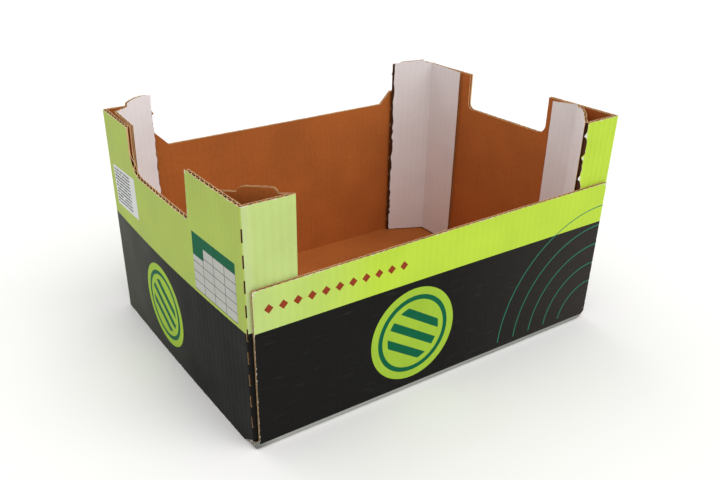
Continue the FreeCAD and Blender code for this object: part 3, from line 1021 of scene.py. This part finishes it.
def alongWrap(up, depth):
    # Section of the wrap: up is measured from the middle of the bottom, towards the front wall
    half = wrapBoard["thickness"] / 2
    radius = wrap["bendRadius"] + half
    travel = np.abs(up)
    angle = np.clip((travel - bendStart) / radius, 0, math.pi / 2)
    y = np.minimum(travel, bendStart) + (radius + depth) * np.sin(angle)
    z = wrap["bendRadius"] + wrapBoard["thickness"] - (radius + depth) * np.cos(angle)
    z += np.maximum(travel - bendStart - radius * math.pi / 2, 0)
    return np.where(up > 0, -y, y), z


def placeWrap(along, up, depth):
    curl, half = wrap["bendEarCurl"], wrapBoard["thickness"] / 2
    travel = np.maximum(wrapLow.x + curl - along, 0)
    turn = np.minimum(travel / curl, math.pi / 2)
    radius = curl - half + depth
    y, z = alongWrap(up, half - curl + radius * np.cos(turn) - (travel - curl * turn))
    along = np.maximum(along, wrapLow.x + curl) - radius * np.sin(turn)
    tilt = wrap["frontTilt"] * along / wrapHigh.x * np.clip(z / wrap["frontHeight"], 0, 1)
    return settle(np.column_stack([along, y, z + np.where(up > 0, tilt, 0.0)]))


def wrapOutline():
    # Corner points of the wrap laid flat: the front rim is the rim line, the rear rim the foot line
    half = wrapHigh.x
    bendLength = (wrap["bendRadius"] + wrapBoard["thickness"] / 2) * math.pi / 2
    wallFoot = bendStart + bendLength - wrap["bendRadius"] - wrapBoard["thickness"]
    front, rear, ear = (wallFoot + wrap[key] for key in ("frontHeight", "rearHeight", "earHeight"))
    inner, outer = half - wrap["earLength"] - wrap["earSlope"], half - wrap["earLength"]
    frontRim = [(-half, front), (half, front)]
    rearRim = [(-half, -ear), (-outer, -ear), (-inner, -rear), (inner, -rear), (outer, -ear), (half, -ear)]
    bendEar = (wrapHigh.y - wrap["bendEarRun"], wallFoot + wrap["bendEarRise"])
    return frontRim, rearRim, bendStart + bendLength / 2, bendEar


def wrapEdge(side, bends, ear, reach, seed):
    # Cut end of the wrap: its corner is cut off at the bends, and an ear stands out between two heights
    def edge(up):
        cut = sum(np.maximum(wrap["cornerCut"] - np.abs(up - bend), 0) for bend in bends)
        standOut = np.where((up > ear[0]) & (up < ear[1]), np.interp(up, *reach), 0.0)
        return side * (wrapHigh.x + standOut - cut - np.abs(wander(up, edgeWave, wrap["endFray"], seed)))
    return edge


def earReach(ear, rolled):
    # Places along the flutes, and how far the ear stands out of the sheet's end there
    curl, step = wrap["bendEarCurl"], wrap["bendEarStep"]
    flat = -wrapLow.x - curl - wrapHigh.x
    if not rolled:
        return (ear, (flat, flat))
    quarter = flat + curl * math.pi / 2
    slope = endPiece["footCutHeight"] / (endPiece["footCut"] - endBoard["thickness"])
    cutEnd = leftHigh.y - endPiece["footCut"] + endBoard["thickness"] / 2
    rises = [slope * (place - cutEnd) - curl - wrap["bendEarClearance"] for place in (ear[0], bendStart)]
    places = (ear[0], bendStart - step, bendStart + step, ear[1])
    return (places, (quarter + rises[0], quarter + rises[1], quarter + wrap["bendEarLap"], quarter))


def buildWrap():
    frontRim, rearRim, fold, ear = wrapOutline()
    depths = boardDepths(wrapBoard, [{"mark": -wrapHigh.x}, {"mark": wrapHigh.x}])
    seed, rear, front = wrap["seed"], rearRim[0][1], frontRim[0][1]
    bendHalf, bendCount = wrap["bendRows"]
    bend = np.linspace(fold - bendHalf, fold + bendHalf, bendCount)
    papers = [
        ("printed", "outer", "printedWrap"),
        ("fluting", "fluting", "fluting"),
        ("kraft", "inner", "kraft"),
    ]
    for number, (part, layer, surface) in enumerate(papers):
        perFlute, rowStep = wrap["lattice"][layer]
        reach = earReach(ear, layer == "outer")
        left = -wrapHigh.x - max(reach[1])
        columns = np.linspace(
            left, wrapHigh.x, int((wrapHigh.x - left) / wrapBoard["flutePitch"] * perFlute) + 1)
        straight = np.concatenate([np.arange(rear, front, rowStep), [front]])
        straight = straight[np.min(np.abs(np.abs(straight)[:, None] - bend), axis=1) > wrap["rowClearance"]]
        rows = np.sort(np.concatenate([straight, bend, -bend]))
        leftEdge = wrapEdge(-1, (-fold,), ear, reach, seed + 1)
        rightEdge = wrapEdge(1, (fold, -fold), (0, 0), reach, seed + 2)
        paperSheet(
            "wrap_" + part, (rearRim, frontRim, leftEdge, rightEdge), wrap["edgeFray"],
            seed + 20 + 2 * number, (columns, rows), [], placeWrap,
            depths[layer], (surface, "kraft", "cutEdge"), "tray_wrap")


buildWrap()
print("wrap folded")

labelSheet = {
    "thickness": 0.1,
    "margin": 0.4,
    "turn": 3.2,  # degrees, its head towards the rear
    "edgeFray": 0.15,
    "lattice": (62, 12),
    "edgeStep": 4.0,
    "overhang": 1.0,  # how far its outline is drawn past its edges before they cut it
    "seed": 130,
}


def buildLabel():
    # Label glued a little askew on the left end wall, measured along the wall
    path = endPath(leftEnd)
    start = path["marks"][3] - endBoard["thickness"] / 2 - leftLow.y
    onWall = endPlace(leftEnd, path)
    outerFace = boardDepths(endBoard, path["folds"])["outer"][0]
    middle = (labelLow + labelHigh) / 2
    turn = math.radians(labelSheet["turn"])

    def turned(along, up):
        across, upwards = along - middle.y, up - middle.z
        return (start + middle.y + across * math.cos(turn) + upwards * math.sin(turn),
                middle.z + upwards * math.cos(turn) - across * math.sin(turn))

    def place(along, up, depth):
        return onWall(*turned(along, up), depth)

    def back(along, up):
        return outerFace(*turned(along, up))

    margin, over, fray, seed = (labelSheet[key] for key in ("margin", "overhang", "edgeFray", "seed"))
    low, high, foot, head = (
        labelLow.y + margin, labelHigh.y - margin, labelLow.z + margin, labelHigh.z - margin)
    columns = np.linspace(low, high, labelSheet["lattice"][0])
    rows = np.linspace(foot, head, labelSheet["lattice"][1])
    footLine, rimLine = ([(low - over, height), (high + over, height)] for height in (foot, head))
    edges = (footLine, rimLine, straightEdge(low, fray, seed), straightEdge(high, fray, seed + 1))
    faces = (shifted(back, labelSheet["thickness"]), back)
    paperSheet(
        "paper_label_sheet", edges, fray, seed + 4, (columns, rows), [], place, faces,
        ("label", "label", "label"), "paper_label", labelSheet["edgeStep"])


buildLabel()
print("label placed")

studio = {
    "floorSize": 12000.0,
    "floorColour": "#FBFAF9",
    "floorRoughness": 0.9,
    "floorSpecular": 0.1,
    "floorCloud": 1.5,  # noise scale
    "floorTone": 0.99,  # of the darkest clouds
    "worldColour": "#FFFFFF",
    "worldStrength": 0.74,
    "lampAngle": 55.0,  # wide lamps, for soft shadows
    "lamps": (  # direction towards the lamp, and its strength
        ("key", (0.25, -0.62, 0.744), 1.2),
        ("fill", (-0.1, 0.8, 0.6), 0.55),
    ),
}


def studioFloor(tree, values):
    # Matt studio paper: near white with a barely uneven tone
    place = addNode(tree, "TexCoord").outputs["Object"]
    cloud = addNode(tree, "TexNoise", {"Vector": place, "Scale": values["floorCloud"], "Detail": 2.0})
    tone = addNode(tree, "MapRange", {"Value": cloud, "To Min": values["floorTone"], "To Max": 1.0})
    base = hexColour(values["floorColour"])[:3]
    colour = addNode(tree, "VectorMath", {0: base, "Scale": tone}, operation="SCALE")
    return {
        "Base Color": colour, "Roughness": values["floorRoughness"],
        "Specular IOR Level": values["floorSpecular"]}


def buildStudio(values):
    half = values["floorSize"] / 2 * mm
    mesh = bpy.data.meshes.new("studio_floor")
    corners = [(-half, -half, 0), (half, -half, 0), (half, half, 0), (-half, half, 0)]
    mesh.from_pydata(corners, [], [(0, 1, 2, 3)])
    mesh.materials.append(makeMaterial("studioPaper", studioFloor, values))
    floor = addObject("studio_floor", mesh)
    world = bpy.data.worlds.new("studioWorld")
    world.use_nodes = True
    world.node_tree.nodes["Background"].inputs[0].default_value = hexColour(values["worldColour"])
    world.node_tree.nodes["Background"].inputs[1].default_value = values["worldStrength"]
    bpy.context.scene.world = world
    for name, direction, strength in values["lamps"]:
        light = bpy.data.lights.new(name + "Light", "SUN")
        light.energy = strength
        light.angle = math.radians(values["lampAngle"])
        holder = addObject(name + "Light", light)
        holder.rotation_euler = (-Vector(direction)).to_track_quat("-Z", "Y").to_euler()
    bpy.context.scene.view_settings.view_transform = "Standard"


buildStudio(studio)
print("studio lit")
